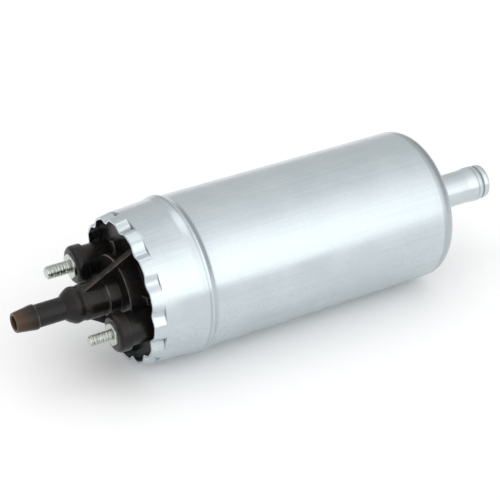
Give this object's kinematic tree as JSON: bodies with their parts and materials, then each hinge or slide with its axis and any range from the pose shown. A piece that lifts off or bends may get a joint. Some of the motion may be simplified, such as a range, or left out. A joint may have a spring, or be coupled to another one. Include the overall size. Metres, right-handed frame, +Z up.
{
  "type": "inline electric fuel pump",
  "caption": "Inline electric fuel pump in a drawn aluminium can, with a staked rim over a dark moulded outlet cover, threaded terminal studs and a hose tail at each end.",
  "frame": {"origin": "on the pump's axis, at the middle of the plain tube that the bracket's clamp grips", "axes": "+X along the pump's axis towards the inlet pipe, +Z up; the line through the two terminals stands 18.5 degrees from +Y towards +Z, with the larger one on the +Y side"},
  "size_m": [0.2026, 0.0598, 0.0598],
  "materials": {
    "case_aluminium": "satin, drawn",
    "pipe_aluminium": "satin, turned",
    "cover_plastic": "moulded, slightly glossy",
    "seal_rubber": "smooth",
    "plated_steel": "bright zinc plated",
    "brass": "turned",
    "inner_plastic": "moulded, natural colour",
    "spring_steel": "drawn wire and thin strip",
    "sintered_bronze": "porous, oil filled",
    "carbon": "pressed carbon",
    "copper_wire": "enamelled wire",
    "commutator_copper": "turned",
    "plain_steel": "bare",
    "ground_steel": "ground",
    "sintered_steel": "sintered and ground",
    "plate_aluminium": "die cast",
    "ferrite": "ground ferrite"
  },
  "bodies": {
    "housing": {"pump_case": "case_aluminium", "inlet_pipe": "pipe_aluminium", "outlet_cover": "cover_plastic", "cover_seal": "seal_rubber", "terminal_stud_m5": "plated_steel", "terminal_stud_m4": "plated_steel", "terminal_nut_m5": "plated_steel", "terminal_nut_m4": "plated_steel", "valve_seat": "brass", "valve_spring": "spring_steel", "brush_holder": "inner_plastic", "commutator_bush": "sintered_bronze", "brush_spring_upper": "spring_steel", "brush_spring_lower": "spring_steel", "choke_positive": "copper_wire", "choke_negative": "copper_wire", "flux_ring": "plain_steel", "magnet_right": "ferrite", "magnet_left": "ferrite", "magnet_clip_upper": "spring_steel", "magnet_clip_lower": "spring_steel", "pump_bush": "sintered_bronze", "discharge_plate": "plate_aluminium", "eccentric_ring": "sintered_steel", "inlet_plate": "plate_aluminium", "cell_screws": "plated_steel", "relief_spring": "spring_steel", "relief_plug": "brass"},
    "armature": {"shaft": "ground_steel", "armature_core": "plain_steel", "armature_windings": "copper_wire", "commutator": "commutator_copper", "thrust_washers": "inner_plastic", "drive_coupling": "inner_plastic", "inner_rotor": "sintered_steel"},
    "outer_rotor": {"outer_rotor": "sintered_steel"},
    "brush_upper": {"brush_upper": "carbon"},
    "brush_lower": {"brush_lower": "carbon"},
    "check_valve": {"valve_poppet": "inner_plastic"},
    "relief_valve": {"relief_ball": "ground_steel"}
  },
  "joints": [
    {"name": "armature_spin", "type": "hinge", "parent": "housing", "child": "armature", "pos_m": [0, 0, 0], "axis": [1, 0, 0], "continuous": true},
    {"name": "outer_rotor_spin", "type": "hinge", "parent": "housing", "child": "outer_rotor", "pos_m": [0.0345, -0.00142, -0.00048], "axis": [1, 0, 0], "continuous": true},
    {"name": "brush_upper_slide", "type": "slide", "parent": "housing", "child": "brush_upper", "axis": [0, -0.3171, 0.9484], "range_m": [0, 0.002], "stiffness_N_per_m": 250, "springref_m": -0.004, "deforming": ["brush_spring_upper"]},
    {"name": "brush_lower_slide", "type": "slide", "parent": "housing", "child": "brush_lower", "axis": [0, 0.3171, -0.9484], "range_m": [0, 0.002], "stiffness_N_per_m": 250, "springref_m": -0.004, "deforming": ["brush_spring_lower"]},
    {"name": "check_valve_slide", "type": "slide", "parent": "housing", "child": "check_valve", "axis": [-1, 0, 0], "range_m": [0, 0.0025], "stiffness_N_per_m": 200, "springref_m": -0.003, "deforming": ["valve_spring"]},
    {"name": "relief_valve_slide", "type": "slide", "parent": "housing", "child": "relief_valve", "axis": [1, 0, 0], "range_m": [0, 0.0015], "stiffness_N_per_m": 3000, "springref_m": -0.002, "deforming": ["relief_spring"]}
  ],
  "couplings": [
    {"joint": "outer_rotor_spin", "follows": "armature_spin", "ratio": 0.85714}
  ]
}
